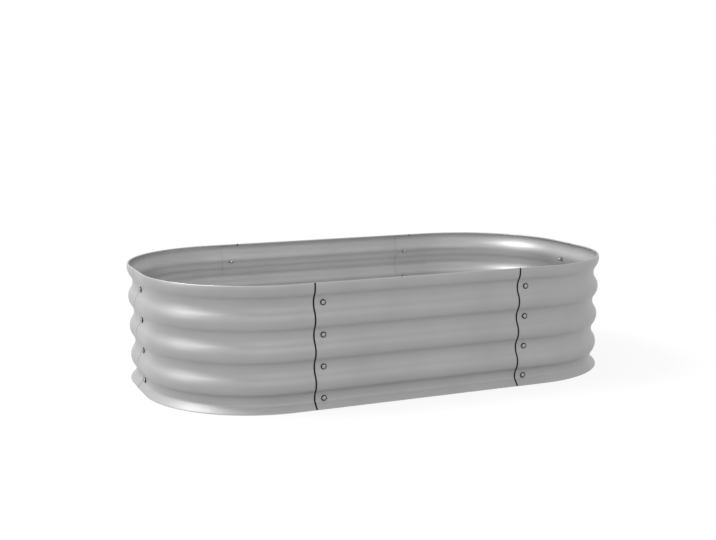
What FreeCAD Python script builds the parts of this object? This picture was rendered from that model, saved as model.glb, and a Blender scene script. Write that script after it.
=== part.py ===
import FreeCAD, Part
import math
import os
import Sketcher

# Raised garden bed: an open-bottomed ring of six corrugated steel sheets. Two straight
# panels and four corner sheets lap over one another and are bolted in the grooves.
# Millimetres. +X runs along the bed, +Z is up, and the origin is on the ground at the middle.
# The front wall faces -Y. Each sheet's left edge, seen from outside, laps over its neighbour.

doc = FreeCAD.newDocument("raised_garden_bed")

# ---------------------------------------------------------------- driving sizes
DRIVING_SIZES = [
    ("straight_length", 670.0, "long side between its two corner arcs"),
    ("end_length", 130.0, "short end between its two corner arcs"),
    ("corner_radius", 280.0, "corner arc, to the middle of the corrugation"),
    ("bed_height", 300.0, "ground to the top of the rim"),
    ("rib_pitch", 76.0, "height from one rib to the next"),
    ("rib_depth", 12.4, "groove to rib, at the middle of the sheet"),
    ("first_groove", 24.0, "height of the lowest groove, and of the lowest bolts"),
    ("sheet_gauge", 0.6, "thickness of the steel"),
    ("foot_flare", 1.0, "how far the foot stands out past the ribs"),
    ("hem_radius", 2.2, "rolled edge along the foot and the rim"),
    ("foot_flat", 0.5, "depth of the flat that the foot's rolled edge stands on"),
    ("lap_clearance", 0.15, "least gap between two lapped sheets"),
    ("lap_margin", 24.0, "bolt column to the edge of either sheet"),
    ("left_run", 59.0, "corner arc to the bolt column at a corner sheet's left edge"),
    ("hem_clearance", 1.6, "lapped tongue to the rolled edge in front of it"),
    ("bolt_hole", 7.0, "hole through both sheets"),
    ("bolt_diameter", 6.0, "shank"),
    ("bolt_length", 16.0, "under the head"),
    ("bolt_chamfer", 0.7, "end of the shank"),
    ("head_diameter", 10.5, "domed bolt head"),
    ("head_height", 3.3, "domed bolt head"),
    ("head_rim", 0.8, "straight edge of the head, below its dome"),
    ("socket_flats", 4.0, "hexagon socket in the head"),
    ("socket_depth", 1.9, "hexagon socket in the head"),
    ("seal_diameter", 14.0, "rubber washer under the head"),
    ("seal_thickness", 2.0, "rubber washer at its middle"),
    ("seal_clearance", 0.05, "rubber washer to the curve of the groove"),
    ("washer_diameter", 12.0, "flat washer under the nut"),
    ("washer_thickness", 1.6, "flat washer under the nut"),
    ("nut_flats", 10.0, "across the flats"),
    ("nut_height", 5.0, "hexagon nut"),
    ("nut_bevel", 0.5, "turned corners of the nut"),
    ("shank_clearance", 0.1, "shank to the bore of the nut and of both washers"),
    ("strip_width", 2.4, "rubber edging on the face of the lapping sheet"),
    ("strip_thickness", 0.8, "rubber edging on the face of the lapping sheet"),
    ("strip_web", 1.0, "rubber edging past the sheet's cut edge"),
    ("strip_clearance", 0.05, "rubber edging to the sheet"),
]

sizes = doc.addObject("Spreadsheet::Sheet", "sizes")
for row, (alias, value, meaning) in enumerate(DRIVING_SIZES, start=1):
    sizes.set(f"A{row}", alias)
    sizes.set(f"B{row}", str(value))
    sizes.set(f"C{row}", meaning)
    sizes.setAlias(f"B{row}", alias)
doc.recompute()


class Rule:
    # A length with the expression that drives it, so that each formula is written once.
    def __init__(self, text, value):
        self.text = text
        self.value = value

    def __add__(self, other):
        other = as_rule(other)
        return Rule(f"({self.text} + {other.text})", self.value + other.value)

    def __sub__(self, other):
        other = as_rule(other)
        return Rule(f"({self.text} - {other.text})", self.value - other.value)

    def __mul__(self, other):
        other = as_rule(other)
        return Rule(f"({self.text} * {other.text})", self.value * other.value)

    def __truediv__(self, other):
        other = as_rule(other)
        return Rule(f"({self.text} / {other.text})", self.value / other.value)

    def __neg__(self):
        return Rule(f"(0 - {self.text})", -self.value)


def as_rule(number):
    return number if isinstance(number, Rule) else Rule(str(number), float(number))


def root(rule):
    return Rule(f"sqrt({rule.text})", math.sqrt(rule.value))


def size(alias):
    return Rule(f"sizes.{alias}", float(sizes.get(alias)))


# ---------------------------------------------------------------- lengths worked out from them
half_depth = size("rib_depth") / 2
half_gauge = size("sheet_gauge") / 2
quarter_pitch = size("rib_pitch") / 4
half_length = size("straight_length") / 2 + size("corner_radius")
half_width = size("end_length") / 2 + size("corner_radius")

# Arcs of this radius, each tangent to the next, make ribs of the given pitch and depth.
rib_radius = (quarter_pitch * quarter_pitch + half_depth * half_depth) / size("rib_depth")

# The rolled edges: heights of their centres, and how far the foot's edge stands out.
foot_height = size("hem_radius") - size("foot_flat")
rim_height = size("bed_height") - size("hem_radius")
foot_offset = half_depth + size("foot_flare")

# One arc swings from the lowest groove out to the foot's rolled edge.
flare_reach = size("rib_depth") + size("foot_flare")
flare_rise = size("first_groove") - foot_height
flare_radius = (flare_reach * flare_reach + flare_rise * flare_rise) / (flare_reach * 2)

# Sideways shift between lapped sheets: gauge and gap, taken where the corrugation is steepest.
steepest_sine = quarter_pitch / rib_radius
steepest_cosine = root(as_rule(1) - steepest_sine * steepest_sine)
lap_shift = (size("sheet_gauge") + size("lap_clearance")) / steepest_cosine

# Bolt columns of a corner sheet, from the ends of its arc, and those of a straight panel.
left_run = size("left_run")
right_run = size("end_length") - left_run
panel_span = size("straight_length") - size("end_length")
tongue_start = size("lap_margin") + size("strip_web") + size("strip_clearance")
tongue_trim = size("hem_radius") * 2 + size("hem_clearance")

# Bolts sit in every groove that has room for a rubber washer below the rim.
room = rim_height - size("hem_radius") - size("seal_diameter") / 2 - size("first_groove")
bolts_per_seam = int(room.value // size("rib_pitch").value) + 1


# ---------------------------------------------------------------- drawing helpers
def make_body(name):
    body = doc.addObject("PartDesign::Body", name)
    body.Label = name
    return body


def origin_item(body, role):
    return [item for item in body.Origin.OriginFeatures if item.Role == role][0]


def make_sketch(body, plane_role, name, lift=None):
    # A sketch on one of the body's own planes, lifted off it along its normal.
    sketch = body.newObject("Sketcher::SketchObject", name)
    sketch.AttachmentSupport = (origin_item(body, plane_role), [""])
    sketch.MapMode = "FlatFace"
    if lift is not None:
        sketch.setExpression("AttachmentOffset.Base.z", lift.text)
    return sketch


def constrain(sketch, rules):
    # Each entry is a constraint and, for a dimension, the rule that drives it.
    added = sketch.addConstraint([constraint for constraint, rule in rules])
    for index, (constraint, rule) in zip(added, rules):
        if rule is not None:
            sketch.setExpression(f"Constraints[{index}]", rule.text)


def join(first, first_end, second, second_end):
    return Sketcher.Constraint("Coincident", first, first_end, second, second_end), None


def radius_of(geometry, rule):
    return Sketcher.Constraint("Radius", geometry, rule.value), rule


def from_origin(kind, geometry, vertex, rule):
    # A distance from the sketch's origin, measured whichever way is positive.
    if rule.value < 0:
        return Sketcher.Constraint(kind, geometry, vertex, -1, 1, -rule.value), -rule
    return Sketcher.Constraint(kind, -1, 1, geometry, vertex, rule.value), rule


def point(x, y):
    return FreeCAD.Vector(x, y, 0)


def circle_at(centre, radius):
    return Part.Circle(centre, FreeCAD.Vector(0, 0, 1), radius)


def arc_between(centre, start, end):
    # The arc that runs anticlockwise from start to end.
    start_angle = math.atan2(start.y - centre.y, start.x - centre.x)
    end_angle = math.atan2(end.y - centre.y, end.x - centre.x)
    return Part.ArcOfCircle(circle_at(centre, (start - centre).Length), start_angle, end_angle)


def circles_meet(centre, radius, other_centre, other_radius, near):
    # The crossing of two circles that lies nearest to a given point.
    gap = other_centre - centre
    along = (radius**2 - other_radius**2 + gap.Length**2) / (2 * gap.Length)
    across = math.sqrt(max(radius**2 - along**2, 0.0))
    unit = gap * (1 / gap.Length)
    side = point(-unit.y, unit.x)
    crossings = [centre + unit * along + side * across, centre + unit * along - side * across]
    return min(crossings, key=lambda crossing: (crossing - near).Length)


def draw_outline(sketch, corners):
    # A closed outline of straight lines through corners, each given as two rules.
    places = [point(across.value, up.value) for across, up in corners]
    count = len(corners)
    lines = [
        sketch.addGeometry(Part.LineSegment(places[i], places[(i + 1) % count]))
        for i in range(count)
    ]
    rules = [join(lines[i], 2, lines[(i + 1) % count], 1) for i in range(count)]
    for line, (across, up) in zip(lines, corners):
        rules.append(from_origin("DistanceX", line, 1, across))
        rules.append(from_origin("DistanceY", line, 1, up))
    constrain(sketch, rules)
    return lines


def draw_circle(sketch, across, up, radius):
    circle = sketch.addGeometry(circle_at(point(across.value, up.value), radius.value))
    rules = [
        from_origin("DistanceX", circle, 3, across),
        from_origin("DistanceY", circle, 3, up),
        radius_of(circle, radius),
    ]
    constrain(sketch, rules)


def draw_hexagon(sketch, flats):
    # A regular hexagon about the sketch's origin, with two corners on its vertical axis.
    corner_radius = flats / root(as_rule(3))
    guide = sketch.addGeometry(circle_at(point(0, 0), corner_radius.value), True)
    turns = [math.radians(90 + 60 * i) for i in range(6)]
    corners = [point(math.cos(turn), math.sin(turn)) * corner_radius.value for turn in turns]
    sides = [
        sketch.addGeometry(Part.LineSegment(corners[i], corners[(i + 1) % 6])) for i in range(6)
    ]
    rules = [join(guide, 3, -1, 1), radius_of(guide, corner_radius)]
    rules += [join(sides[i], 2, sides[(i + 1) % 6], 1) for i in range(6)]
    rules += [(Sketcher.Constraint("PointOnObject", side, 1, guide), None) for side in sides]
    rules += [(Sketcher.Constraint("Equal", sides[0], side), None) for side in sides[1:]]
    rules.append((Sketcher.Constraint("PointOnObject", sides[0], 1, -2), None))
    constrain(sketch, rules)


# ---------------------------------------------------------------- feature helpers
def pad(body, sketch, name, length, backwards=None):
    # The sketch pushed along its plane's normal, and also the other way by `backwards`.
    feature = body.newObject("PartDesign::Pad", name)
    feature.Profile = sketch
    feature.setExpression("Length", length.text)
    if backwards is not None:
        feature.SideType = "Two sides"
        feature.setExpression("Length2", backwards.text)
    body.Tip = feature
    return feature


def revolve(body, sketch, name, axis_role, angle=360.0, kind="PartDesign::Revolution"):
    feature = body.newObject(kind, name)
    feature.Profile = sketch
    feature.ReferenceAxis = (origin_item(body, axis_role), [""])
    feature.Angle = angle
    body.Tip = feature
    return feature


def cut_through(body, sketch, name):
    # The sketch cut right through the body, both ways from its plane.
    feature = body.newObject("PartDesign::Pocket", name)
    feature.Profile = sketch
    feature.SideType = "Symmetric"
    feature.Type = "ThroughAll"
    check_cut(body, feature)
    return feature


def check_cut(body, feature):
    body.Tip = feature
    doc.recompute()
    if feature.Shape.Volume >= feature.BaseFeature.Shape.Volume:
        raise RuntimeError(f"{body.Label}: {feature.Name} cuts nothing")


def repeat_up(body, features, name):
    # One copy in every groove that takes a bolt.
    pattern = body.newObject("PartDesign::LinearPattern", name)
    pattern.Originals = features
    pattern.Direction = (origin_item(body, "Z_Axis"), [""])
    pattern.Mode = "Spacing"
    pattern.setExpression("Offset", size("rib_pitch").text)
    pattern.Occurrences = bolts_per_seam
    body.Tip = pattern
    return pattern


def copy_of(original, name):
    # One more piece like the original, with a place of its own.
    body = make_body(name)
    clone = doc.addObject("PartDesign::FeatureBase", f"{name}_clone")
    body.Group = [clone]
    clone.BaseFeature = original
    body.Tip = clone
    return body


def place(body, quarter_turns, across, along, up=as_rule(0), inward=as_rule(0)):
    # Stands a body at a place in plan, turned anticlockwise from the front wall, and then
    # moved inward through the wall: a body's own +Y is the way into the bed.
    turn = FreeCAD.Rotation(FreeCAD.Vector(0, 0, 1), quarter_turns * 90)
    body.Placement = FreeCAD.Placement(FreeCAD.Vector(), turn)
    way_in = turn.multVec(FreeCAD.Vector(0, 1, 0))
    body.setExpression("Placement.Base.x", (across + inward * round(way_in.x)).text)
    body.setExpression("Placement.Base.y", (along + inward * round(way_in.y)).text)
    body.setExpression("Placement.Base.z", up.text)


# ---------------------------------------------------------------- the corrugation
# Offsets are measured outwards from the middle of the wave. A groove's arc has its centre
# outside the wall (side +1) and a rib's arc has it inside (side -1). In the sketches of the
# wall, outwards is -x and `distance` is how far the wave's middle lies from the sketch's origin.
def wave_arcs():
    groove = size("first_groove")
    flare = {"side": 1, "radius": flare_radius, "height": groove, "top": groove.value}
    flare["offset"] = flare_radius - half_depth
    arcs = [flare]
    half_waves = 0
    while arcs[-1]["top"] < (rim_height - size("hem_radius") * 2).value:
        side = 1 if half_waves % 2 == 0 else -1
        height = groove + quarter_pitch * (2 * half_waves)
        arc = {"side": side, "radius": rib_radius, "height": height}
        arc["top"] = (height + quarter_pitch).value
        arc["offset"] = (rib_radius - half_depth) * side
        arcs.append(arc)
        half_waves += 1
    return arcs


def face_radius(arc, face):
    # Radius of an arc on a face that lies `face` outside the sheet's middle.
    return arc["radius"] - face * arc["side"]


def centre_of(arc, distance):
    return point(-(distance + arc["offset"]).value, arc["height"].value)


def wave_point(arc, face, height, distance):
    rise = height - arc["height"].value
    reach = math.sqrt(face_radius(arc, face).value ** 2 - rise**2)
    return point(centre_of(arc, distance).x + arc["side"] * reach, height)


def draw_face(sketch, arcs, face, distance, low_end, high_end):
    # Tangent arcs along one face of the sheet. Each is returned with its low and high vertex.
    ends = [low_end]
    for arc in arcs[:-1]:
        centre = centre_of(arc, distance)
        middle = wave_point(arc, as_rule(0), arc["top"], distance)
        ends.append(centre + (middle - centre) * (face_radius(arc, face) / arc["radius"]).value)
    ends.append(high_end)
    chain = []
    for arc, low, high in zip(arcs, ends, ends[1:]):
        centre = centre_of(arc, distance)
        if arc["side"] > 0:
            chain.append((sketch.addGeometry(arc_between(centre, low, high)), 1, 2))
        else:
            chain.append((sketch.addGeometry(arc_between(centre, high, low)), 2, 1))
    return chain


def tangents(chain):
    return [
        (Sketcher.Constraint("Tangent", lower, lower_high, upper, upper_low), None)
        for (lower, _, lower_high), (upper, upper_low, _) in zip(chain, chain[1:])
    ]


def two_face_rules(arcs, outer, inner, outer_face, inner_face, distance):
    # The outer face has its centres and radii given, and the inner face shares its centres.
    rules = []
    for arc, (curve, _, _), (inner_curve, _, _) in zip(arcs, outer, inner):
        rules.append(from_origin("DistanceY", curve, 3, arc["height"]))
        rules.append(radius_of(curve, face_radius(arc, outer_face)))
        rules.append(join(curve, 3, inner_curve, 3))
    rules.append(from_origin("DistanceX", outer[1][0], 3, -(distance + arcs[1]["offset"])))
    rules.append(radius_of(inner[0][0], face_radius(arcs[0], inner_face)))
    return rules + tangents(outer) + tangents(inner)


def draw_wall_section(sketch, distance):
    # The sheet's whole section, with its rolled edges at the foot and the rim.
    arcs = wave_arcs()
    hem = size("hem_radius")
    foot = point(-(distance + foot_offset).value, foot_height.value)
    rim = wave_point(arcs[-1], as_rule(0), rim_height.value, distance)
    faces = []
    for face in (half_gauge, -half_gauge):
        above_foot = wave_point(arcs[0], face, (foot_height + hem).value, distance)
        below_rim = wave_point(arcs[-1], face, (rim_height - hem).value, distance)
        first_radius = face_radius(arcs[0], face).value
        last_radius = face_radius(arcs[-1], face).value
        first_centre = centre_of(arcs[0], distance)
        last_centre = centre_of(arcs[-1], distance)
        low_end = circles_meet(first_centre, first_radius, foot, hem.value, above_foot)
        high_end = circles_meet(last_centre, last_radius, rim, hem.value, below_rim)
        chain = draw_face(sketch, arcs, face, distance, low_end, high_end)
        faces.append((chain, low_end, high_end))
    (outer, outer_low, outer_high), (inner, inner_low, inner_high) = faces

    half_flat = math.sqrt(hem.value**2 - foot_height.value**2)
    flat_out = point(foot.x - half_flat, 0)
    flat_in = point(foot.x + half_flat, 0)
    foot_outside = sketch.addGeometry(arc_between(foot, outer_low, flat_out))
    foot_rest = sketch.addGeometry(Part.LineSegment(flat_out, flat_in))
    foot_inside = sketch.addGeometry(arc_between(foot, flat_in, inner_low))
    rim_roll = sketch.addGeometry(arc_between(rim, inner_high, outer_high))

    rules = two_face_rules(arcs, outer, inner, half_gauge, -half_gauge, distance)
    rules += [
        join(foot_outside, 1, outer[0][0], outer[0][1]),
        join(foot_outside, 2, foot_rest, 1),
        join(foot_rest, 2, foot_inside, 1),
        join(foot_inside, 2, inner[0][0], inner[0][1]),
        join(foot_outside, 3, foot_inside, 3),
        from_origin("DistanceX", foot_outside, 3, -(distance + foot_offset)),
        from_origin("DistanceY", foot_outside, 3, foot_height),
        radius_of(foot_outside, hem),
        (Sketcher.Constraint("Equal", foot_outside, foot_inside), None),
        (Sketcher.Constraint("PointOnObject", foot_outside, 2, -1), None),
        (Sketcher.Constraint("PointOnObject", foot_inside, 1, -1), None),
        join(rim_roll, 1, inner[-1][0], inner[-1][2]),
        join(rim_roll, 2, outer[-1][0], outer[-1][2]),
        (Sketcher.Constraint("Equal", foot_outside, rim_roll), None),
        from_origin("DistanceY", rim_roll, 3, rim_height),
    ]
    reach = arcs[-1]["radius"]
    last = outer[-1][0]
    rules.append((Sketcher.Constraint("Distance", last, 3, rim_roll, 3, reach.value), reach))
    constrain(sketch, rules)


def draw_band(sketch, outer_face, inner_face, low, high):
    # A band that follows the corrugation between two faces and two heights.
    arcs = wave_arcs()
    distance = as_rule(0)
    faces = []
    for face in (outer_face, inner_face):
        low_end = wave_point(arcs[0], face, low.value, distance)
        high_end = wave_point(arcs[-1], face, high.value, distance)
        chain = draw_face(sketch, arcs, face, distance, low_end, high_end)
        faces.append((chain, low_end, high_end))
    (outer, outer_low, outer_high), (inner, inner_low, inner_high) = faces
    bottom = sketch.addGeometry(Part.LineSegment(outer_low, inner_low))
    top = sketch.addGeometry(Part.LineSegment(inner_high, outer_high))

    rules = two_face_rules(arcs, outer, inner, outer_face, inner_face, distance)
    rules += [
        join(bottom, 1, outer[0][0], outer[0][1]),
        join(bottom, 2, inner[0][0], inner[0][1]),
        join(top, 1, inner[-1][0], inner[-1][2]),
        join(top, 2, outer[-1][0], outer[-1][2]),
        (Sketcher.Constraint("Horizontal", bottom), None),
        (Sketcher.Constraint("Horizontal", top), None),
        from_origin("DistanceY", bottom, 1, low),
        from_origin("DistanceY", top, 1, high),
    ]
    constrain(sketch, rules)


# ---------------------------------------------------------------- sheets
def trim_tongue(body, bolt_column):
    # The right end of a sheet goes behind its neighbour, so it has no rolled edges there.
    start = bolt_column - tongue_start
    end = bolt_column + size("lap_margin") * 2
    low = tongue_trim
    high = size("bed_height") - tongue_trim
    below = -size("hem_radius")
    above = size("bed_height") + size("hem_radius")
    sketch = make_sketch(body, "XZ_Plane", "tongue_outline")
    draw_outline(sketch, [(start, below), (end, below), (end, low), (start, low)])
    draw_outline(sketch, [(start, high), (end, high), (end, above), (start, above)])
    cut_through(body, sketch, "tongue")


def bolt_hole(body, plane_role, across, name):
    sketch = make_sketch(body, plane_role, f"{name}_outline")
    draw_circle(sketch, across, size("first_groove"), size("bolt_hole") / 2)
    return cut_through(body, sketch, name)


def straight_panel(name):
    # Its own x starts at the bolt column of its left edge.
    body = make_body(name)
    section = make_sketch(body, "YZ_Plane", "section")
    draw_wall_section(section, as_rule(0))
    pad(body, section, "wall", panel_span + size("lap_margin"), size("lap_margin"))
    trim_tongue(body, panel_span)
    left_hole = bolt_hole(body, "XZ_Plane", as_rule(0), "left_hole")
    right_hole = bolt_hole(body, "XZ_Plane", panel_span, "right_hole")
    repeat_up(body, [left_hole, right_hole], "holes")
    return body


def corner_sheet(name):
    # Its own origin is the centre of its arc: the left run faces -X and the right run -Y.
    body = make_body(name)
    left_section = make_sketch(body, "XZ_Plane", "left_section")
    draw_wall_section(left_section, size("corner_radius"))
    left_wall = pad(body, left_section, "left_wall", left_run + size("lap_margin"))
    left_wall.Reversed = True
    revolve(body, left_section, "bend", "Z_Axis", 90.0)
    right_section = make_sketch(body, "YZ_Plane", "right_section")
    draw_wall_section(right_section, size("corner_radius"))
    pad(body, right_section, "right_wall", right_run + size("lap_margin"))
    trim_tongue(body, right_run)
    left_hole = bolt_hole(body, "YZ_Plane", left_run, "left_hole")
    right_hole = bolt_hole(body, "XZ_Plane", right_run, "right_hole")
    repeat_up(body, [left_hole, right_hole], "holes")
    return body


# ---------------------------------------------------------------- pieces of one seam
# A seam's own origin is its lowest bolt hole, in the middle of the lapping sheet's wave.
seal_seat = half_depth - half_gauge
head_seat = seal_seat - size("seal_thickness")
washer_seat = half_depth + lap_shift + half_gauge
nut_seat = washer_seat + size("washer_thickness")
shank_bore = size("bolt_diameter") / 2 + size("shank_clearance") / 2


def bolts(name):
    body = make_body(name)
    head = size("head_diameter") / 2
    shank = size("bolt_diameter") / 2
    tip = size("bolt_length")
    chamfer = size("bolt_chamfer")
    dome = size("head_height") - size("head_rim")
    dome_radius = (head * head + dome * dome) / (dome * 2)
    dome_centre = dome_radius - size("head_height")

    sketch = make_sketch(body, "XY_Plane", "half_section")
    crown = point(0, -size("head_height").value)
    edge = point(head.value, -size("head_rim").value)
    centre = point(0, dome_centre.value)
    corners = [
        (head, as_rule(0)),
        (shank, as_rule(0)),
        (shank, tip - chamfer),
        (shank - chamfer, tip),
        (as_rule(0), tip),
    ]
    places = [edge] + [point(x.value, y.value) for x, y in corners] + [crown]
    arc = sketch.addGeometry(arc_between(centre, crown, edge))
    lines = [sketch.addGeometry(Part.LineSegment(a, b)) for a, b in zip(places, places[1:])]
    rules = [join(arc, 2, lines[0], 1), join(arc, 1, lines[-1], 2)]
    rules += [join(first, 2, second, 1) for first, second in zip(lines, lines[1:])]
    rules += [
        from_origin("DistanceX", arc, 3, as_rule(0)),
        from_origin("DistanceX", arc, 1, as_rule(0)),
        from_origin("DistanceY", arc, 1, -size("head_height")),
        radius_of(arc, dome_radius),
        from_origin("DistanceX", arc, 2, head),
    ]
    for line, (x, y) in zip(lines, corners):
        rules.append(from_origin("DistanceX", line, 2, x))
        rules.append(from_origin("DistanceY", line, 2, y))
    constrain(sketch, rules)
    turned = revolve(body, sketch, "turned", "Y_Axis")

    socket_outline = make_sketch(body, "XZ_Plane", "socket_outline", size("head_height"))
    draw_hexagon(socket_outline, size("socket_flats"))
    socket = body.newObject("PartDesign::Pocket", "socket")
    socket.Profile = socket_outline
    socket.setExpression("Length", size("socket_depth").text)
    check_cut(body, socket)
    repeat_up(body, [turned, socket], "column")
    return body


def ring(body, radius, thickness, name):
    # A flat ring about the bolt's axis, from the body's origin inwards.
    sketch = make_sketch(body, "XZ_Plane", f"{name}_outline")
    draw_circle(sketch, as_rule(0), as_rule(0), radius)
    draw_circle(sketch, as_rule(0), as_rule(0), shank_bore)
    feature = pad(body, sketch, name, thickness)
    feature.Reversed = True
    return feature


def rubber_washers(name):
    # Flat under the bolt's head, and curved behind to lie in the groove.
    body = make_body(name)
    disc = ring(body, size("seal_diameter") / 2, size("seal_thickness"), "disc")

    curve_radius = face_radius(wave_arcs()[1], half_gauge) - size("seal_clearance")
    apex = size("seal_thickness") - size("seal_clearance")
    half_height = size("seal_diameter")
    beyond = size("seal_thickness") * 2
    curve_centre = point((apex - curve_radius).value, 0)
    drop = root(curve_radius * curve_radius - half_height * half_height)
    low = point((apex - curve_radius + drop).value, -half_height.value)
    high = point(low.x, half_height.value)
    sketch = make_sketch(body, "YZ_Plane", "groove_outline")
    arc = sketch.addGeometry(arc_between(curve_centre, low, high))
    places = [high, point(beyond.value, high.y), point(beyond.value, low.y), low]
    lines = [sketch.addGeometry(Part.LineSegment(a, b)) for a, b in zip(places, places[1:])]
    rules = [join(arc, 2, lines[0], 1), join(arc, 1, lines[2], 2)]
    rules += [join(first, 2, second, 1) for first, second in zip(lines, lines[1:])]
    rules += [
        (Sketcher.Constraint("PointOnObject", arc, 3, -1), None),
        from_origin("DistanceX", arc, 3, apex - curve_radius),
        radius_of(arc, curve_radius),
        from_origin("DistanceY", arc, 2, half_height),
        from_origin("DistanceY", arc, 1, -half_height),
        from_origin("DistanceX", lines[0], 2, beyond),
        from_origin("DistanceY", lines[0], 2, half_height),
        from_origin("DistanceX", lines[1], 2, beyond),
        from_origin("DistanceY", lines[1], 2, -half_height),
    ]
    constrain(sketch, rules)
    groove = cut_through(body, sketch, "groove")
    repeat_up(body, [disc, groove], "column")
    return body


def flat_washers(name):
    body = make_body(name)
    disc = ring(body, size("washer_diameter") / 2, size("washer_thickness"), "disc")
    repeat_up(body, [disc], "column")
    return body


def nuts(name):
    body = make_body(name)
    outline = make_sketch(body, "XZ_Plane", "outline")
    draw_hexagon(outline, size("nut_flats"))
    draw_circle(outline, as_rule(0), as_rule(0), shank_bore)
    block = pad(body, outline, "block", size("nut_height"))
    block.Reversed = True

    # The free face's corners are turned away in a cone.
    half_flats = size("nut_flats") / 2
    corner = size("nut_flats") / root(as_rule(3))
    height = size("nut_height")
    wedge = make_sketch(body, "XY_Plane", "bevel_outline")
    outside = corner + size("nut_bevel")
    slope_top = height - (outside - half_flats) * size("nut_bevel") / (corner - half_flats)
    draw_outline(wedge, [(half_flats, height), (outside, slope_top), (outside, height)])
    bevel = revolve(body, wedge, "bevel", "Y_Axis", kind="PartDesign::Groove")
    check_cut(body, bevel)
    repeat_up(body, [block, bevel], "column")
    return body


def edge_strip(name):
    # Rubber edging on the lapping sheet's cut edge, which follows the corrugation.
    body = make_body(name)
    left_end = -(size("lap_margin") + size("strip_web"))
    lip_face = half_gauge + size("strip_thickness")
    seat_face = half_gauge + size("strip_clearance")
    hem = size("hem_radius")
    web_length = size("strip_web") - size("strip_clearance")

    web_section = make_sketch(body, "YZ_Plane", "web_section", left_end)
    draw_band(web_section, lip_face, -half_gauge, foot_height + hem * 0.4, rim_height)
    pad(body, web_section, "web", web_length)

    # Round ends fill the break between the two sheets' rolled edges.
    end_radius = foot_height
    last = wave_arcs()[-1]
    last_rise = rim_height - last["height"]
    last_reach = root(last["radius"] * last["radius"] - last_rise * last_rise)
    rim_offset = last["offset"] - last_reach * last["side"]
    ends = make_sketch(body, "YZ_Plane", "end_outline", left_end)
    draw_circle(ends, -foot_offset, foot_height, end_radius)
    draw_circle(ends, -rim_offset, rim_height, end_radius)
    pad(body, ends, "ends", web_length)

    lip_section = make_sketch(body, "YZ_Plane", "lip_section", left_end)
    low = foot_height + hem
    high = rim_height - hem - size("strip_clearance") * 4
    draw_band(lip_section, lip_face, seat_face, low, high)
    pad(body, lip_section, "lip", size("strip_web") + size("strip_width"))
    return body


# ---------------------------------------------------------------- the assembly
# Half of the seams, walking round from the left: the others are these, half a turn round.
half_shift = lap_shift / 2
arc_end = size("straight_length") / 2
flat_end = size("end_length") / 2

seams = [
    {
        "name": "front_left",
        "quarter_turns": 0,
        "across": right_run - arc_end - half_shift,
        "along": -half_width,
    },
    {
        "name": "front_right",
        "quarter_turns": 0,
        "across": arc_end - left_run - half_shift,
        "along": -half_width - lap_shift,
    },
    {
        "name": "right_end",
        "quarter_turns": 1,
        "across": half_length + half_shift,
        "along": flat_end - left_run - lap_shift,
    },
]
far_names = {"front_left": "back_right", "front_right": "back_left", "right_end": "left_end"}
for seam in list(seams):
    far_seam = {
        "name": far_names[seam["name"]],
        "quarter_turns": seam["quarter_turns"] + 2,
        "across": -seam["across"],
        "along": -seam["along"],
    }
    seams.append(far_seam)

panel_places = {
    "front_panel": (0, seams[0]["across"], seams[0]["along"]),
    "back_panel": (2, -seams[0]["across"], -seams[0]["along"]),
}
left_centre = (-arc_end - half_shift, lap_shift - flat_end)
right_centre = (arc_end - half_shift, -flat_end - lap_shift)
corner_places = {
    "front_left_corner": (0, left_centre[0], left_centre[1]),
    "front_right_corner": (1, right_centre[0], right_centre[1]),
    "back_right_corner": (2, -left_centre[0], -left_centre[1]),
    "back_left_corner": (3, -right_centre[0], -right_centre[1]),
}
for make_sheet, places in ((straight_panel, panel_places), (corner_sheet, corner_places)):
    first_sheet = None
    for name, (quarter_turns, across, along) in places.items():
        body = copy_of(first_sheet, name) if first_sheet else make_sheet(name)
        place(body, quarter_turns, across, along)
        first_sheet = first_sheet or body

# Each kind of fitting, with the height of its lowest piece and its seat in the wall.
fittings = [
    (bolts, size("first_groove"), head_seat),
    (rubber_washers, size("first_groove"), head_seat),
    (flat_washers, size("first_groove"), washer_seat),
    (nuts, size("first_groove"), nut_seat),
    (edge_strip, as_rule(0), as_rule(0)),
]
for make_fitting, up, seat in fittings:
    first_fitting = None
    for seam in seams:
        name = f"{make_fitting.__name__}_{seam['name']}"
        body = copy_of(first_fitting, name) if first_fitting else make_fitting(name)
        place(body, seam["quarter_turns"], seam["across"], seam["along"], up, seat)
        first_fitting = first_fitting or body

doc.recompute()

# ---------------------------------------------------------------- checks and files
for item in doc.Objects:
    if "Invalid" in item.State or "Error" in item.State:
        raise RuntimeError(f"{item.Label} failed: {item.State}")
    if item.TypeId == "Sketcher::SketchObject" and item.solve() != 0:
        raise RuntimeError(f"{item.Label} does not solve")

os.makedirs("parts", exist_ok=True)
bodies = [item for item in doc.Objects if item.TypeId == "PartDesign::Body"]
for body in bodies:
    if body.Shape.isNull() or not body.Shape.isValid():
        raise RuntimeError(f"{body.Label} has no valid shape")
for body in bodies:
    body.Shape.exportStep(f"parts/{body.Label}.step")
    solids = body.Shape.Solids
    print(f"{body.Label}: {len(solids)} solids, {body.Shape.Volume / 1000:.2f} cm3")
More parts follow.
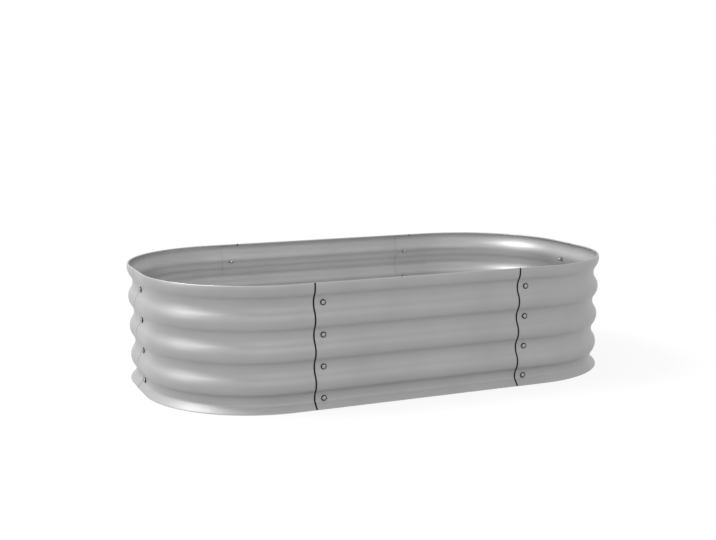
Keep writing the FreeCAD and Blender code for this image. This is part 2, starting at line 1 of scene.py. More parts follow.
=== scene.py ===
import math
import bpy
import numpy as np
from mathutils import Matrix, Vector


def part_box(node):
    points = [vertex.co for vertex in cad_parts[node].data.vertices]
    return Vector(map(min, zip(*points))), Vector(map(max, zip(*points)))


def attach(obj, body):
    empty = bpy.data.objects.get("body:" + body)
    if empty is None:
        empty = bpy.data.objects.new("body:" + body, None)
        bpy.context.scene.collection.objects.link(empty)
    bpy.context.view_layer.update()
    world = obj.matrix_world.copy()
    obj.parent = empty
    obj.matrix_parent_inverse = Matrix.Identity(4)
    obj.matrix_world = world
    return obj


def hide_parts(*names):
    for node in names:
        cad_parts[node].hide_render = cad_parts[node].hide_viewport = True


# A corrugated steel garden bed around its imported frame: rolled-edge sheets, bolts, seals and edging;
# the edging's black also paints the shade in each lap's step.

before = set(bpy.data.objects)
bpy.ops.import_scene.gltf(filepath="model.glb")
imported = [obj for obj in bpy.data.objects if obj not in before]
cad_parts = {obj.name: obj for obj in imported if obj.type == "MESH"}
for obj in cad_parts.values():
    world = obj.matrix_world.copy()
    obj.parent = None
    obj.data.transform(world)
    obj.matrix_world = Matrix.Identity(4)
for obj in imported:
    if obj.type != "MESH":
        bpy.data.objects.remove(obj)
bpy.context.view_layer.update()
print("frame loaded:", len(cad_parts), "nodes")

# The sheets' corrugation, in metres. Radii and places of curves are those of the steel's middle,
# but for the outside radii of the two rolls.
sheet = {
    "pitch": 0.076,
    "depth": 0.0124,  # from a rib's crest to a groove's deepest point
    "firstGroove": 0.024,  # height of the lowest groove
    "gauge": 0.0006,
    "cornerRadius": 0.280,
    "footOut": 0.0094,  # outermost point of the foot's roll, from the middle of the wave
    "footRoll": 0.0011,
    "rimRoll": 0.0022,
    "footTurn": 280.0,  # degrees that the foot's roll goes round
    "rimTurn": 305.0,
    "grooveRun": 0.0045,  # the lowest groove's curve goes on this far below its deepest point
    "flareBend": 0.0060,  # radius of the bend into the straight flare above the foot
    "tongueLength": 0.04905,  # the narrow end that goes behind the next sheet
    "tongueTrim": 0.006,  # how far the tongue stops short of the foot and of the rim
    "edgeTrim": 0.0028,  # left free for the edging at the lapping edge, black rubber that also paints the shade of the lap's step
    "waveStep": 0.0022,  # mesh steps: up the wave and the flare,
    "rollStep": 0.00042,  # round the rolls,
    "flareStep": 0.0009,  # round the flare's bend,
    "runStep": 0.012,  # along the straight walls
    "cornerStep": 0.0052,  # and round a corner
}

# Which way each sheet faces, in quarter turns from the front, and the seam at its left edge.
sheets = {
    "front_left_corner": (0, "left_end"),
    "front_panel": (0, "front_left"),
    "front_right_corner": (1, "front_right"),
    "back_right_corner": (2, "right_end"),
    "back_panel": (2, "back_right"),
    "back_left_corner": (3, "back_left"),
}

# Which way the wall faces at each seam.
seamTurns = {
    "front_left": 0,
    "front_right": 0,
    "right_end": 1,
    "back_right": 2,
    "back_left": 2,
    "left_end": 3,
}

sharpAngle = 38.0  # degrees between two faces from which their edge stays sharp


def turnedPlan(x, y, quarterTurns):
    # plan coordinates turned anticlockwise by whole quarter turns
    for _ in range(quarterTurns % 4):
        x, y = -y, x
    return x, y


def localBox(node, quarterTurns):
    # a node's box as seen with its wall brought round to the front
    low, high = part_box(node)
    ax, ay = turnedPlan(low.x, low.y, -quarterTurns)
    bx, by = turnedPlan(high.x, high.y, -quarterTurns)
    lowest = np.array([min(ax, bx), min(ay, by), low.z])
    highest = np.array([max(ax, bx), max(ay, by), high.z])
    return lowest, highest


def meshFrom(name, points, quads, triangles=()):
    # puts arrays of points, quads and triangles into one mesh, without the points that none uses
    points = np.asarray(points, float).reshape(-1, 3)
    quads = np.asarray(quads, int).reshape(-1, 4)
    triangles = np.asarray(triangles, int).reshape(-1, 3)
    corners = np.concatenate([quads.ravel(), triangles.ravel()])
    used, corners = np.unique(corners, return_inverse=True)
    sizes = np.concatenate([np.full(len(quads), 4), np.full(len(triangles), 3)])
    starts = np.concatenate([[0], np.cumsum(sizes)[:-1]])
    mesh = bpy.data.meshes.new(name)
    mesh.vertices.add(len(used))
    mesh.vertices.foreach_set("co", points[used].astype(np.float32).ravel())
    mesh.loops.add(len(corners))
    mesh.loops.foreach_set("vertex_index", corners.astype(np.int32).ravel())
    mesh.polygons.add(len(sizes))
    mesh.polygons.foreach_set("loop_start", starts.astype(np.int32))
    mesh.polygons.foreach_set("use_smooth", np.ones(len(sizes), bool))
    mesh.update(calc_edges=True)
    mesh.set_sharp_from_angle(angle=math.radians(sharpAngle))
    piece = bpy.data.objects.new(name, mesh)
    bpy.context.scene.collection.objects.link(piece)
    return piece


def shellQuads(keep):
    # The kept cells of a grid on both faces of a sheet, and a narrow face wherever one meets none.
    index = np.arange((keep.shape[0] + 1) * (keep.shape[1] + 1))
    index = index.reshape(keep.shape[0] + 1, keep.shape[1] + 1)
    under = index.size
    a, b, c, d = index[:-1, :-1], index[1:, :-1], index[1:, 1:], index[:-1, 1:]
    bordered = np.pad(keep, 1)
    parts = [np.stack([a, b, c, d], -1)[keep], np.stack([a, d, c, b], -1)[keep] + under]
    neighbours = [
        (bordered[1:-1, :-2], b, a),
        (bordered[2:, 1:-1], c, b),
        (bordered[1:-1, 2:], d, c),
        (bordered[:-2, 1:-1], a, d),
    ]
    for beside, first, second in neighbours:
        edge = keep & ~beside
        rim = np.stack([first, second, second + under, first + under], -1)
        parts.append(rim[edge])
    return np.concatenate(parts)


def ringQuads(rings, sectors, closed):
    # quads of a grid that closes round each ring, and from the last ring to the first if closed
    ring = np.arange(rings if closed else rings - 1)[:, None]
    sector = np.arange(sectors)[None, :]
    after = (ring + 1) % rings
    beside = (sector + 1) % sectors
    quad = [ring * sectors + sector, ring * sectors + beside]
    quad += [after * sectors + beside, after * sectors + sector]
    return np.stack(quad, -1).reshape(-1, 4)


def finishPiece(piece, material, nodes):
    # gives a piece its material and its body, and hides the CAD nodes that it stands for
    piece.data.materials.append(material)
    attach(piece, "root")
    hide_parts(*nodes)
    return piece


def noiseOf(tree, scale, detail):
    place = tree.nodes.new("ShaderNodeTexCoord")
    noise = tree.nodes.new("ShaderNodeTexNoise")
    noise.inputs["Scale"].default_value = scale
    noise.inputs["Detail"].default_value = detail
    tree.links.new(place.outputs["Object"], noise.inputs["Vector"])
    return noise.outputs["Fac"]


def spread(tree, source, low, high, fromLow=0.3, fromHigh=0.7):
    # carries a value from one range to another; the first is preset to what a noise mostly covers
    ranged = tree.nodes.new("ShaderNodeMapRange")
    ranged.inputs["From Min"].default_value = fromLow
    ranged.inputs["From Max"].default_value = fromHigh
    ranged.inputs["To Min"].default_value = low
    ranged.inputs["To Max"].default_value = high
    tree.links.new(source, ranged.inputs["Value"])
    return ranged.outputs["Result"]


def blended(tree, factor, first, second):
    mix = tree.nodes.new("ShaderNodeMix")
    mix.data_type = "RGBA"
    mix.inputs["A"].default_value = (*first, 1.0)
    mix.inputs["B"].default_value = (*second, 1.0)
    tree.links.new(factor, mix.inputs["Factor"])
    return mix.outputs["Result"]


def bumped(tree, shader, height, distance, strength):
    bump = tree.nodes.new("ShaderNodeBump")
    bump.inputs["Distance"].default_value = distance
    bump.inputs["Strength"].default_value = strength
    tree.links.new(height, bump.inputs["Height"])
    tree.links.new(bump.outputs["Normal"], shader.inputs["Normal"])


def clouded(name, look):
    # two tones that drift into each other in soft clouds, under a fine grain
    material = bpy.data.materials.new(name)
    material.use_nodes = True
    tree = material.node_tree
    shader = tree.nodes["Principled BSDF"]
    cloud = noiseOf(tree, look["cloudScale"], look["cloudDetail"])
    grain = noiseOf(tree, look["grainScale"], look["grainDetail"])
    colour = blended(tree, spread(tree, cloud, 0.0, 1.0), look["darker"], look["lighter"])
    roughness = grain if look["roughByGrain"] else cloud
    rough = spread(tree, roughness, look["roughLow"], look["roughHigh"])
    tree.links.new(colour, shader.inputs["Base Color"])
    tree.links.new(rough, shader.inputs["Roughness"])
    shader.inputs["Metallic"].default_value = look["metallic"]
    shader.inputs["Specular IOR Level"].default_value = look["specular"]
    bumped(tree, shader, grain, look["grainHeight"], look["grainStrength"])
    return material


# Scales are per metre; the grain's height is in metres.
coat = {
    "lighter": (0.395, 0.395, 0.397),
    "darker": (0.365, 0.365, 0.368),
    "metallic": 0.50,
    "specular": 0.5,
    "roughLow": 0.40,
    "roughHigh": 0.46,
    "roughByGrain": True,
    "cloudScale": 9.0,
    "cloudDetail": 3.0,
    "grainScale": 1400.0,
    "grainDetail": 2.0,
    "grainHeight": 0.00004,
    "grainStrength": 0.6,
}
plate = {
    "lighter": (0.40, 0.41, 0.42),
    "darker": (0.27, 0.275, 0.28),
    "metallic": 1.0,
    "specular": 0.5,
    "roughLow": 0.20,
    "roughHigh": 0.34,
    "roughByGrain": False,
    "cloudScale": 420.0,
    "cloudDetail": 3.0,
    "grainScale": 2600.0,
    "grainDetail": 2.0,
    "grainHeight": 0.00003,
    "grainStrength": 0.5,
}
# black rubber for the seals and the edging, kept this dark so that the edging also shows the painted
# shade of the lap's step
rubber = {
    "lighter": (0.013, 0.013, 0.0135),
    "darker": (0.006, 0.006, 0.0065),
    "metallic": 0.0,
    "specular": 0.14,
    "roughLow": 0.55,
    "roughHigh": 0.72,
    "roughByGrain": False,
    "cloudScale": 260.0,
    "cloudDetail": 4.0,
    "grainScale": 3200.0,
    "grainDetail": 2.0,
    "grainHeight": 0.00005,
    "grainStrength": 0.6,
}
steelCoat = clouded("coatedSteel", coat)
boltPlate = clouded("zincPlate", plate)
# this rubber also colours the edging, whose black is partly painted shade of the lap's step
rubberAndLapShade = clouded("blackRubberAndLapShade", rubber)
print("materials made")


def arcPoints(centre, radius, start, end, side, step):
    # Points round an arc, with unit normals that point away from its centre (side 1) or to it (-1).
    count = max(2, int(abs(end - start) * radius / step) + 1)
    turn = np.linspace(start, end, count)
    ray = np.stack([np.cos(turn), np.sin(turn)], -1)
    return np.array(centre) + radius * ray, side * ray


def straightPoints(start, end, normal, step):
    # evenly spaced points from start to end, all with the same normal
    start, end = np.array(start), np.array(end)
    count = max(2, int(np.linalg.norm(end - start) / step) + 1)
    share = np.linspace(0, 1, count)[:, None]
    return start + (end - start) * share, np.tile(np.array(normal, float), (count, 1))


def joinedRuns(runs):
    # Runs of points and normals put end to end. Where two meet, their shared point is kept once.
    line = np.concatenate([runs[0][0]] + [points[1:] for points, _ in runs[1:]])
    normal = np.concatenate([runs[0][1]] + [normals[1:] for _, normals in runs[1:]])
    return line, normal


def sheetSection(rimHeight):
    # Out and up along the middle of the steel: a roll at the foot, a straight flare, a bend into
    # the lowest groove, tangent arcs for grooves and ribs, and a roll at the rim. All meet in line.
    halfDepth = sheet["depth"] / 2
    quarter = sheet["pitch"] / 4
    ribRadius = (quarter**2 + halfDepth**2) / sheet["depth"]
    steepest = math.asin(quarter / ribRadius)
    halfGauge = sheet["gauge"] / 2
    footTurn, rimTurn = math.radians(sheet["footTurn"]), math.radians(sheet["rimTurn"])
    footRoll = sheet["footRoll"] - halfGauge
    rimRoll = sheet["rimRoll"] - halfGauge
    footCentre = (sheet["footOut"] - sheet["footRoll"], sheet["footRoll"])

    # the flare is the straight line that touches the bend's circle and the foot's roll
    grooveOut = ribRadius - halfDepth
    grooveEnd = math.asin(sheet["grooveRun"] / ribRadius)
    bend = sheet["flareBend"]
    bendCentre = (
        grooveOut - (ribRadius - bend) * math.cos(grooveEnd),
        sheet["firstGroove"] - (ribRadius - bend) * math.sin(grooveEnd),
    )
    across, down = footCentre[0] - bendCentre[0], footCentre[1] - bendCentre[1]
    tilt = math.atan2(down, across) + math.acos(-(bend + footRoll) / math.hypot(across, down))
    facing = np.array([math.cos(tilt), math.sin(tilt)])
    flareFoot, flareTop = footCentre + footRoll * facing, bendCentre - bend * facing

    step = sheet["waveStep"]
    runs = [
        arcPoints(footCentre, footRoll, tilt - footTurn, tilt, 1, sheet["rollStep"]),
        straightPoints(flareFoot, flareTop, facing, step),
        arcPoints(bendCentre, bend, math.pi + tilt, math.pi + grooveEnd, -1, sheet["flareStep"]),
    ]
    height = sheet["firstGroove"]
    start = math.pi + grooveEnd
    while height + quarter * 2 < rimHeight:
        groove = ((grooveOut, height), ribRadius, start, math.pi - steepest, -1)
        runs.append(arcPoints(*groove, step))
        height += quarter * 2
        room = rimHeight - sheet["rimRoll"] - height
        top = steepest
        if room < quarter:  # the last rib ends where its rim's roll touches the height of the bed
            top = math.asin(room / (ribRadius - rimRoll))
        rib = ((-grooveOut, height), ribRadius, -steepest, top, 1)
        runs.append(arcPoints(*rib, step))
        height += quarter * 2
        start = math.pi + steepest
    ray = np.array([math.cos(top), math.sin(top)])
    rimCentre = runs[-1][0][-1] - rimRoll * ray
    runs.append(arcPoints(rimCentre, rimRoll, top, top + rimTurn, 1, sheet["rollStep"]))
    return joinedRuns(runs)


def planLine(name, low, high):
    # A sheet's plan line, from its left edge to the end of its tongue, with ways out of the wall,
    # and how many of its steps are in the tongue.
    step = sheet["runStep"]
    front = low[1] + sheet["footOut"]
    tongue = high[0] - sheet["tongueLength"]
    if name.endswith("panel"):
        left = low[0] + sheet["edgeTrim"]
        runs = [straightPoints((left, front), (tongue, front), (0, -1), step)]
    else:
        side = low[0] + sheet["footOut"]
        radius = sheet["cornerRadius"]
        centre = (side + radius, front + radius)
        edge = high[1] - sheet["edgeTrim"]
        runs = [
            straightPoints((side, edge), (side, centre[1]), (-1, 0), step),
            arcPoints(centre, radius, math.pi, math.pi * 1.5, 1, sheet["cornerStep"]),
            straightPoints((centre[0], front), (tongue, front), (0, -1), step),
        ]
    runs.append(straightPoints((tongue, front), (high[0], front), (0, -1), step))
    line, outward = joinedRuns(runs)
    return line, outward, len(runs[-1][0]) - 1


def sweptFace(line, outward, section, normal, face):
    # Plan point i moved out by the section's offset j, at the section's height j; face moves the
    # point along the section's own normal, to one side of the steel or the other.
    out = section[:, 0] + face * normal[:, 0]
    up = section[:, 1] + face * normal[:, 1]
    across = line[:, None, 0] + outward[:, None, 0] * out[None, :]
    along = line[:, None, 1] + outward[:, None, 1] * out[None, :]
    return across, along, np.broadcast_to(up, across.shape)


def makeSheet(name, quarterTurns):
    # The section swept along the plan line, for both faces of the steel; the tongue is narrower.
    low, high = localBox(name, quarterTurns)
    section, normal = sheetSection(high[2])
    line, outward, tongueSteps = planLine(name, low, high)
    faces = []
    for face in (sheet["gauge"] / 2, -sheet["gauge"] / 2):
        across, along, up = sweptFace(line, outward, section, normal, face)
        x, y = turnedPlan(across, along, quarterTurns)
        faces.append(np.stack([x, y, up], -1).reshape(-1, 3))
    middle = (section[1:, 1] + section[:-1, 1]) / 2
    inTongue = np.arange(len(line) - 1) >= len(line) - 1 - tongueSteps
    kept = (middle > sheet["tongueTrim"]) & (middle < high[2] - sheet["tongueTrim"])
    keep = ~inTongue[:, None] | kept[None, :]
    piece = meshFrom(f"{name}_sheet", np.concatenate(faces), shellQuads(keep))
    return finishPiece(piece, steelCoat, [name])


for name, (quarterTurns, _) in sheets.items():
    makeSheet(name, quarterTurns)
print("sheets made")


# Rubber edging in the step at each lapping sheet's cut edge, partly a real strip and partly painted
# shade: its black stands for the shadow in that step.
edgingAndLapShade = {
    "width": 0.0038,  # past the cut edge
    "clearance": 0.00005,  # from the cut edge
    "tip": 0.00016,  # thickness at the far side
    "under": 0.0001,  # how far it reaches down to the sheet below
    "crown": 0.00006,  # how much the slope swells above a straight line
    "slopeSteps": 5,
}


def edgingAndLapShadeOutline():
    # A wedge in plan, black in the step as painted shade: as thick as the steel at the cut edge,
    # sloping down to a thin tip. Columns are the way along the wall from the cut edge and the way out
    # from the middle of the steel.
    halfGauge = sheet["gauge"] / 2
    foot = -halfGauge - edgingAndLapShade["under"]
    share = np.linspace(0, 1, edgingAndLapShade["slopeSteps"])
    across = -edgingAndLapShade["width"] + (edgingAndLapShade["width"] - edgingAndLapShade["clearance"]) * share
    lowest = foot + edgingAndLapShade["tip"]
    out = lowest + (halfGauge - lowest) * share + edgingAndLapShade["crown"] * np.sin(math.pi * share)
    base = [(-edgingAndLapShade["clearance"], foot), (-edgingAndLapShade["width"], foot)]
    return np.concatenate([np.stack([across, out], -1), base])


def makeEdgingAndLapShade(name, quarterTurns, seam):
    # The outline carried along the sheet's whole section, rolls included; its black paints the shade
    # of the lap's step.
    low, high = localBox(name, quarterTurns)
    section, normal = sheetSection(high[2])
    line, outward, _ = planLine(name, low, high)
    start, out = line[0], outward[0]
    forward = (line[1] - line[0]) / np.linalg.norm(line[1] - line[0])
    outline = edgingAndLapShadeOutline()
    outwards = section[:, 0, None] + outline[None, :, 1] * normal[:, 0, None]
    up = section[:, 1, None] + outline[None, :, 1] * normal[:, 1, None]
    across = start[0] + forward[0] * outline[None, :, 0] + out[0] * outwards
    along = start[1] + forward[1] * outline[None, :, 0] + out[1] * outwards
    x, y = turnedPlan(across, along, quarterTurns)
    rings, sides = x.shape
    points = np.stack([x, y, up], -1).reshape(-1, 3)
    # each end is a fan from the outline's last corner
    side = np.arange(sides - 2)
    last = (rings - 1) * sides
    startFan = np.stack([np.full(sides - 2, sides - 1), side + 1, side], -1)
    endFan = np.stack([np.full(sides - 2, last + sides - 1), last + side, last + side + 1], -1)
    triangles = np.concatenate([startFan, endFan])
    piece = meshFrom(f"edging_{seam}", points, ringQuads(rings, sides, False), triangles)
    return finishPiece(piece, rubberAndLapShade, [f"edge_strip_{seam}"])


for name, (quarterTurns, seam) in sheets.items():
    makeEdgingAndLapShade(name, quarterTurns, seam)
print("edging made")


def ringPoints(turn, radius, inward):
    # one ring about a bolt's axis, from the top round; radius and depth may change round it
    radius = np.broadcast_to(radius, turn.shape)
    inward = np.broadcast_to(inward, turn.shape)
    return np.stack([radius * np.sin(turn), inward, radius * np.cos(turn)], -1)


def hexRadius(turn, flats):
    # distance from the middle of a hexagon to its side, with flat sides at the top and the bottom
    swing = (turn + math.pi / 6) % (math.pi / 3) - math.pi / 6
    return flats / 2 / np.cos(swing)


def roundedBlock(inner, outer, start, end, rounding):
    # radii and depths round the section of a ring: its bore bevelled, its outer corners rounded
    bevel = rounding / 2
    eased = rounding * 0.3  # about how far in the middle of a quarter circle lies
    return [
        (inner, start + bevel),
        (inner + bevel, start),
        (outer - rounding, start),
        (outer - eased, start + eased),
        (outer, start + rounding),
        (outer, end - rounding),
        (outer - eased, end - eased),
        (outer - rounding, end),
        (inner + bevel, end),
        (inner, end - bevel),
    ]


def stackPieces(name, seam, box, radius, rings, sunk=0.0, poles=None):
    # Copies one turned form up the seam, into every groove that its box takes in. rings holds
    # offsets (across, in, up) as rings x sectors, from a point that lies sunk behind the box's
    # front. Two poles close its ends; without them it closes from the last ring to the first.
    low, high = box
    first, last = low[2] + radius, high[2] - radius
    count = int(round((last - first) / sheet["pitch"])) + 1
    heights = first + sheet["pitch"] * np.arange(count)
    middle = ((low[0] + high[0]) / 2, low[1] + sunk)
    rings = np.stack(rings)
    sectors = rings.shape[1]
    one = rings.reshape(-1, 3)
    quads = ringQuads(rings.shape[0], sectors, poles is None)
    triangles = np.zeros((0, 3), int)
    if poles is not None:
        firstPole, lastPole = len(one), len(one) + 1
        one = np.concatenate([one, poles])
        sector = np.arange(sectors)
        beside = (sector + 1) % sectors
        lastRing = (rings.shape[0] - 1) * sectors
        start = np.stack([np.full(sectors, firstPole), beside, sector], -1)
        end = np.stack([np.full(sectors, lastPole), lastRing + sector, lastRing + beside], -1)
        triangles = np.concatenate([start, end])
    points, allQuads, allTriangles = [], [], []
    for copy, height in enumerate(heights):
        x, y = turnedPlan(middle[0] + one[:, 0], middle[1] + one[:, 1], seamTurns[seam])
        points.append(np.stack([x, y, height + one[:, 2]], -1))
        allQuads.append(quads + copy * len(one))
        allTriangles.append(triangles + copy * len(one))
    points = np.concatenate(points)
    return meshFrom(name, points, np.concatenate(allQuads), np.concatenate(allTriangles))


bolt = {
    "headRadius": 0.00525,
    "headHeight": 0.0033,
    "rim": 0.0008,  # from the back of the head to the edge of its dome
    "rimRound": 0.0003,  # the head's side starts this far behind the dome
    "domeRings": 12,
    "domeStart": 0.12,  # the dome's first and last ring, as shares of the way to the head's side
    "domeEnd": 0.97,
    "domeEdge": 0.985,  # share of the head's radius at which the side takes the dome's depth
    "backBevel": 0.0001,
    "socketFlats": 0.004,
    "socketDepth": 0.0019,
    "drillRadius": 0.00192,
    "drillDepth": 0.0010,  # the drilled cone at the bottom of the socket
    "socketLip": 0.00018,  # width of the bevel at the mouth of the socket
    "lipSlope": 0.7,  # the bevel's depth over its width
    "shank": 0.003,
    "threadPitch": 0.001,
    "threadDepth": 0.00045,
    "threadLength": 0.011,
    "threadFade": 0.001,  # length over which the thread deepens
    "turnRings": 6,  # rings in one turn of the thread
    "endBevel": 0.0007,
    "sectors": 48,  # a multiple of 12, so that every corner of a hexagon falls on one
}


def domeDepth(radius, domeRadius):
    # depth of the domed head's surface at a radius: a sphere's sag below its top
    return domeRadius - bolt["headHeight"] - np.sqrt(domeRadius**2 - radius**2)


def makeBolts(seam):
    # Rings from the outside in: socket floor, socket wall, dome, side, back, shank and thread.
    low, high = box = localBox(f"bolts_{seam}", seamTurns[seam])
    turn = np.linspace(0, 2 * math.pi, bolt["sectors"], endpoint=False)
    head, tall = bolt["headRadius"], bolt["headHeight"]
    dome = tall - bolt["rim"]
    domeRadius = (head**2 + dome**2) / (2 * dome)
    length = high[1] - low[1] - tall
    socket = hexRadius(turn, bolt["socketFlats"])
    lip = socket + bolt["socketLip"]
    lipDepth = domeDepth(lip, domeRadius)
    floor = bolt["socketDepth"] - tall
    rings = [
        ringPoints(turn, socket / 2, floor + bolt["drillDepth"] / 2),
        ringPoints(turn, bolt["drillRadius"], floor),
        ringPoints(turn, socket, floor),
        ringPoints(turn, socket, lipDepth + bolt["socketLip"] * bolt["lipSlope"]),
        ringPoints(turn, lip, lipDepth),
    ]
    for share in np.linspace(bolt["domeStart"], bolt["domeEnd"], bolt["domeRings"]):
        radius = lip + (head - lip) * share
        rings.append(ringPoints(turn, radius, domeDepth(radius, domeRadius)))
    edge = domeDepth(head * bolt["domeEdge"], domeRadius)
    rings += [
        ringPoints(turn, head, edge + bolt["rimRound"]),
        ringPoints(turn, head, -bolt["backBevel"]),
        ringPoints(turn, head - bolt["backBevel"], 0.0),
        ringPoints(turn, bolt["shank"], 0.0),
    ]
    threadStart = length - bolt["threadLength"]
    steps = int(bolt["threadLength"] / bolt["threadPitch"] * bolt["turnRings"])
    for along in np.linspace(threadStart, length - bolt["endBevel"], steps):
        # a helical vee: depth follows the distance from the crest, which climbs once round
        phase = (along / bolt["threadPitch"] - turn / (2 * math.pi)) % 1.0
        vee = 1 - np.abs(2 * phase - 1)
        fade = min(1.0, (along - threadStart) / bolt["threadFade"])
        rings.append(ringPoints(turn, bolt["shank"] - bolt["threadDepth"] * vee * fade, along))
    rings.append(ringPoints(turn, bolt["shank"] - bolt["endBevel"], length))
    poles = np.array([[0, floor + bolt["drillDepth"], 0], [0, length, 0]])
    piece = stackPieces(f"bolt_column_{seam}", seam, box, head, rings, tall, poles)
    return finishPiece(piece, boltPlate, [f"bolts_{seam}"])


seal = {"bore": 0.00305, "rounding": 0.00045, "sectors": 56}


def makeSeals(seam):
    # A ring whose back follows the groove: its depth falls away with the height off the axis.
    low, high = box = localBox(f"rubber_washers_{seam}", seamTurns[seam])
    radius = (high[0] - low[0]) / 2
    thick = high[1] - low[1]
    quarter, halfDepth = sheet["pitch"] / 4, sheet["depth"] / 2
    grooveRadius = (quarter**2 + halfDepth**2) / sheet["depth"] - sheet["gauge"] / 2
    turn = np.linspace(0, 2 * math.pi, seal["sectors"], endpoint=False)
    rings = []
    for ringRadius, depth in roundedBlock(seal["bore"], radius, 0, thick, seal["rounding"]):
        rise = ringRadius * np.cos(turn)
        back = grooveRadius - np.sqrt(grooveRadius**2 - rise**2)
        rings.append(ringPoints(turn, ringRadius, depth - back * depth / thick))
    piece = stackPieces(f"seal_column_{seam}", seam, box, radius, rings)
    return finishPiece(piece, rubberAndLapShade, [f"rubber_washers_{seam}"])


flatWasher = {"bore": 0.00315, "rounding": 0.00025, "sectors": 56}


def makeFlatWashers(seam):
    low, high = box = localBox(f"flat_washers_{seam}", seamTurns[seam])
    radius = (high[0] - low[0]) / 2
    thick = high[1] - low[1]
    turn = np.linspace(0, 2 * math.pi, flatWasher["sectors"], endpoint=False)
    block = roundedBlock(flatWasher["bore"], radius, 0, thick, flatWasher["rounding"])
    rings = [ringPoints(turn, ringRadius, depth) for ringRadius, depth in block]
    piece = stackPieces(f"washer_column_{seam}", seam, box, radius, rings)
    return finishPiece(piece, boltPlate, [f"flat_washers_{seam}"])


nut = {
    "bore": 0.00262,
    "countersink": 0.0006,
    "bevel": 0.5,  # slope of the cone that the two faces are turned to
    "faceInset": 0.0002,  # how far inside the flat sides a face's circle stays
    "sideDrop": 0.0001,  # how far behind that circle the sides start
}


def makeNuts(seam):
    # A hexagon whose two faces are turned to a cone: the sides' ends drop where corners stand out.
    low, high = box = localBox(f"nuts_{seam}", seamTurns[seam])
    flats = high[0] - low[0]
    tall = high[1] - low[1]
    turn = np.linspace(0, 2 * math.pi, bolt["sectors"], endpoint=False)
    side = hexRadius(turn, flats)
    bore, sink = nut["bore"], nut["countersink"]
    face = flats / 2 - nut["faceInset"]
    drop = (side - flats / 2) * nut["bevel"] + nut["sideDrop"]
    rings = [
        ringPoints(turn, bore, sink),
        ringPoints(turn, bore + sink, 0),
        ringPoints(turn, face, 0),
        ringPoints(turn, side, drop),
        ringPoints(turn, side, tall - drop),
        ringPoints(turn, face, tall),
        ringPoints(turn, bore + sink, tall),
        ringPoints(turn, bore, tall - sink),
    ]
    piece = stackPieces(f"nut_column_{seam}", seam, box, flats / math.sqrt(3), rings)
    return finishPiece(piece, boltPlate, [f"nuts_{seam}"])


for seam in seamTurns:
    makeBolts(seam)
    makeSeals(seam)
    makeFlatWashers(seam)
    makeNuts(seam)
print("bolts, seals, washers and nuts made")


studio = {
    "floorSize": 60.0,
    "floorDrop": 0.0002,  # below the bed's foot
    "floorColour": (0.38, 0.38, 0.38),  # what the floor throws back on the bed
    "floorPale": (0.95, 0.95, 0.95),  # what takes the bed's shadow where the camera sees it
    "floorWhite": 0.84,  # share of plain white that the camera sees beside the bed
    "fadeStart": 0.9,  # metres from the middle of the bed where the floor starts to turn white
    "fadeEnd": 2.6,
    "skyLevel": 0.80,  # brightness of the surroundings where they aren't seen directly
}
keyLamp = {
    "place": (-3.05, 0.12, 1.72),
    "target": (-0.45, -0.12, 0.15),
    "width": 1.7,
    "height": 2.5,
    "power": 21.0,
}
topLamp = {
    "place": (-1.90, 0.83, 3.07),
    "target": (-0.45, -0.12, 0.05),
    "width": 1.5,
    "height": 1.3,
    "power": 93.0,
}
fillLamp = {
    "place": (-0.6, -4.6, 2.4),
    "target": (0.0, 0.0, 0.15),
    "width": 5.0,
    "height": 3.0,
    "power": 24.0,
}


def seenDirectly(tree):
    # 1 for rays from the camera, off a glossy surface or through a clear one
    path = tree.nodes.new("ShaderNodeLightPath")
    seen = path.outputs["Is Camera Ray"]
    for kind in ("Is Glossy Ray", "Is Transmission Ray"):
        either = tree.nodes.new("ShaderNodeMath")
        either.operation = "MAXIMUM"
        tree.links.new(seen, either.inputs[0])
        tree.links.new(path.outputs[kind], either.inputs[1])
        seen = either.outputs[0]
    return seen


def whiteShare(tree):
    # how much of the floor is plain white: a fixed share round the bed, all of it further away
    place = tree.nodes.new("ShaderNodeTexCoord")
    distance = tree.nodes.new("ShaderNodeVectorMath")
    distance.operation = "LENGTH"
    tree.links.new(place.outputs["Object"], distance.inputs[0])
    low, start, end = studio["floorWhite"], studio["fadeStart"], studio["fadeEnd"]
    return spread(tree, distance.outputs["Value"], low, 1.0, start, end)


def makeFloor():
    # The camera sees plain white with a share of the bed's shadow; other rays see a grey floor.
    half, height = studio["floorSize"] / 2, -studio["floorDrop"]
    signs = [(-1, -1), (1, -1), (1, 1), (-1, 1)]
    corners = [(half * x, half * y, height) for x, y in signs]
    floor = meshFrom("floor", corners, [(0, 1, 2, 3)])
    material = bpy.data.materials.new("studioFloor")
    material.use_nodes = True
    tree = material.node_tree
    tree.nodes.clear()
    matt = tree.nodes.new("ShaderNodeBsdfDiffuse")
    matt.inputs["Color"].default_value = (*studio["floorColour"], 1.0)
    pale = tree.nodes.new("ShaderNodeBsdfDiffuse")
    pale.inputs["Color"].default_value = (*studio["floorPale"], 1.0)
    white = tree.nodes.new("ShaderNodeEmission")
    seen = tree.nodes.new("ShaderNodeMixShader")
    tree.links.new(whiteShare(tree), seen.inputs["Fac"])
    tree.links.new(pale.outputs[0], seen.inputs[1])
    tree.links.new(white.outputs[0], seen.inputs[2])
    choice = tree.nodes.new("ShaderNodeMixShader")
    output = tree.nodes.new("ShaderNodeOutputMaterial")
    tree.links.new(seenDirectly(tree), choice.inputs["Fac"])
    tree.links.new(matt.outputs[0], choice.inputs[1])
    tree.links.new(seen.outputs[0], choice.inputs[2])
    tree.links.new(choice.outputs[0], output.inputs["Surface"])
    floor.data.materials.append(material)


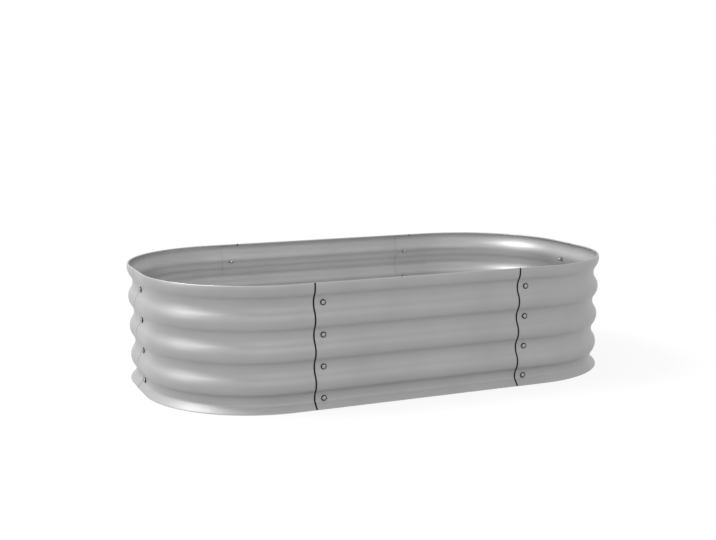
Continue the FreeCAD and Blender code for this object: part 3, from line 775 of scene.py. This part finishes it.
def makeWorld():
    # plain white where it is seen directly, a little dimmer where it only lights
    world = bpy.data.worlds.new("studioSky")
    bpy.context.scene.world = world
    world.use_nodes = True
    tree = world.node_tree
    background = tree.nodes["Background"]
    level = tree.nodes.new("ShaderNodeMapRange")
    level.inputs["To Min"].default_value = studio["skyLevel"]
    level.inputs["To Max"].default_value = 1.0
    tree.links.new(seenDirectly(tree), level.inputs["Value"])
    background.inputs["Color"].default_value = (1.0, 1.0, 1.0, 1.0)
    tree.links.new(level.outputs["Result"], background.inputs["Strength"])


def aimedTurn(place, target):
    # the turn that points an object's -Z axis from its place to the target
    return (Vector(target) - Vector(place)).to_track_quat("-Z", "Y").to_euler()


def makeLamp(name, settings):
    lamp = bpy.data.lights.new(name, "AREA")
    lamp.shape = "RECTANGLE"
    lamp.size = settings["width"]
    lamp.size_y = settings["height"]
    lamp.energy = settings["power"]
    stand = bpy.data.objects.new(name, lamp)
    stand.location = settings["place"]
    stand.rotation_euler = aimedTurn(settings["place"], settings["target"])
    bpy.context.scene.collection.objects.link(stand)


lens = {
    "azimuth": -23.835,
    "elevation": 13.899,
    "distance": 3.0547,
    "imageWidth": 716,
    "imageHeight": 540,
    "focalPixels": 1127.62,
    "centreAcross": 368.68,  # where the line of sight meets the picture, in pixels from its
    "centreDown": 365.08,  # left and upper edges
    "sensor": 36.0,
    "clipEnd": 200.0,
}


def makeCamera():
    # Aimed at the middle of the bed at the floor, and shifted so that this falls on the centre given.
    azimuth, elevation = math.radians(lens["azimuth"]), math.radians(lens["elevation"])
    level = math.cos(elevation)
    back = (math.sin(azimuth) * level, -math.cos(azimuth) * level, math.sin(elevation))
    camera = bpy.data.objects.new("camera", bpy.data.cameras.new("camera"))
    camera.location = [lens["distance"] * part for part in back]
    camera.rotation_euler = aimedTurn(camera.location, (0, 0, 0))
    camera.data.sensor_width = lens["sensor"]
    camera.data.lens = lens["focalPixels"] / lens["imageWidth"] * lens["sensor"]
    camera.data.shift_x = (lens["imageWidth"] / 2 - lens["centreAcross"]) / lens["imageWidth"]
    camera.data.shift_y = (lens["centreDown"] - lens["imageHeight"] / 2) / lens["imageWidth"]
    camera.data.clip_end = lens["clipEnd"]
    bpy.context.scene.collection.objects.link(camera)
    bpy.context.scene.camera = camera


makeFloor()
makeWorld()
makeLamp("keyLamp", keyLamp)
makeLamp("topLamp", topLamp)
makeLamp("fillLamp", fillLamp)
makeCamera()
bpy.context.scene.view_settings.view_transform = "Standard"
print("floor, lamps and camera set")
